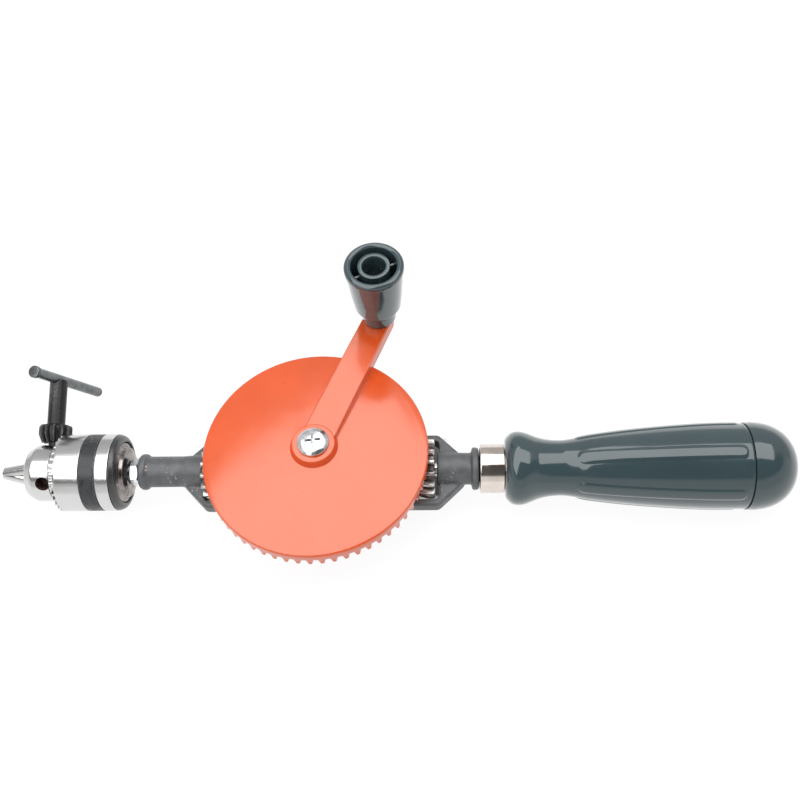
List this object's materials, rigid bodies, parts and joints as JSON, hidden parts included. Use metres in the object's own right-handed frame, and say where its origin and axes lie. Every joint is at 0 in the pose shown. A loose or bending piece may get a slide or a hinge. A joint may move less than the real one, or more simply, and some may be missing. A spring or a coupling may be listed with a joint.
{
  "type": "hand drill",
  "caption": "Hand drill with a cranked bevel gear wheel, two pinions, a keyed three-jaw chuck with its key, and a hollow handle with a removable cap.",
  "frame": {"origin": "centre of the bottom of the bounding box, under the drill as it lies with its crank up", "axes": "+X along the spindle from the chuck towards the handle; +Z along the gear wheel's axis, up towards the crank knob; +Y completes the frame"},
  "size_m": [0.3288, 0.1196, 0.0758],
  "materials": {
    "grey_frame_paint": "satin grey paint over a casting",
    "orange_red_paint": "glossy",
    "ground_steel": "finely ground",
    "blackened_steel": "black oxide",
    "greased_gear_steel": "machined, with a film of grease",
    "bright_zinc": "bright zinc plate",
    "polished_nickel": "polished",
    "dark_plastic": "glossy"
  },
  "bodies": {
    "frame": {"frame": "grey_frame_paint", "idler_axle": "ground_steel", "idler_washer": "ground_steel", "thrust_washer": "ground_steel", "axle_screw": "bright_zinc", "axle_washer": "ground_steel", "axle_nut": "bright_zinc", "ferrule": "polished_nickel", "handle_grip": "dark_plastic"},
    "crank": {"crank_wheel": "orange_red_paint", "knob_screw": "bright_zinc", "knob_washer": "ground_steel"},
    "spindle": {"spindle": "bright_zinc", "drive_pinion": "greased_gear_steel", "drive_pinion_pin": "ground_steel", "chuck_body": "ground_steel"},
    "idler": {"idler_pinion": "greased_gear_steel"},
    "knob": {"crank_knob": "dark_plastic"},
    "sleeve": {"chuck_sleeve": "ground_steel", "chuck_nut_upper": "blackened_steel", "chuck_nut_lower": "blackened_steel"},
    "jaw_1": {"jaw_1": "ground_steel"},
    "jaw_2": {"jaw_2": "ground_steel"},
    "jaw_3": {"jaw_3": "ground_steel"},
    "key": {"key_shaft": "blackened_steel", "key_bar": "blackened_steel"},
    "cap": {"handle_cap": "dark_plastic"}
  },
  "joints": [
    {"name": "crank_spin", "type": "hinge", "parent": "frame", "child": "crank", "pos_m": [-0.03035, -0.0144, 0.018], "axis": [0, 0, 1], "continuous": true},
    {"name": "spindle_spin", "type": "hinge", "parent": "frame", "child": "spindle", "pos_m": [-0.03035, -0.0144, 0.018], "axis": [1, 0, 0], "continuous": true},
    {"name": "idler_spin", "type": "hinge", "parent": "frame", "child": "idler", "pos_m": [-0.03035, -0.0144, 0.018], "axis": [1, 0, 0], "continuous": true},
    {"name": "knob_spin", "type": "hinge", "parent": "crank", "child": "knob", "pos_m": [-0.00568, 0.0476, 0.018], "axis": [0, 0, 1], "continuous": true},
    {"name": "sleeve_turn", "type": "hinge", "parent": "spindle", "child": "sleeve", "pos_m": [-0.03035, -0.0144, 0.018], "axis": [-1, 0, 0], "range_deg": [0, 3780]},
    {"name": "jaw_1_slide", "type": "slide", "parent": "spindle", "child": "jaw_1", "axis": [0.9701, 0.0421, 0.2389], "range_m": [0, 0.01335]},
    {"name": "jaw_2_slide", "type": "slide", "parent": "spindle", "child": "jaw_2", "axis": [0.9701, -0.2279, -0.083], "range_m": [0, 0.01335]},
    {"name": "jaw_3_slide", "type": "slide", "parent": "spindle", "child": "jaw_3", "axis": [0.9701, 0.1858, -0.1559], "range_m": [0, 0.01335]},
    {"name": "key_turn", "type": "hinge", "parent": "spindle", "child": "key", "pos_m": [-0.14375, -0.0144, 0.018], "axis": [0, 0.9397, 0.342], "range_deg": [0, 10395]},
    {"name": "cap_removal", "type": "slide", "parent": "frame", "child": "cap", "axis": [1, 0, 0], "range_m": [0, 0.03]}
  ],
  "couplings": [
    {"joint": "spindle_spin", "follows": "crank_spin", "ratio": 4},
    {"joint": "idler_spin", "follows": "crank_spin", "ratio": -4},
    {"joint": "jaw_1_slide", "follows": "sleeve_turn", "m_per_rad": 0.00020213},
    {"joint": "jaw_2_slide", "follows": "sleeve_turn", "m_per_rad": 0.00020213},
    {"joint": "jaw_3_slide", "follows": "sleeve_turn", "m_per_rad": 0.00020213},
    {"joint": "key_turn", "follows": "sleeve_turn", "ratio": 2.75}
  ]
}
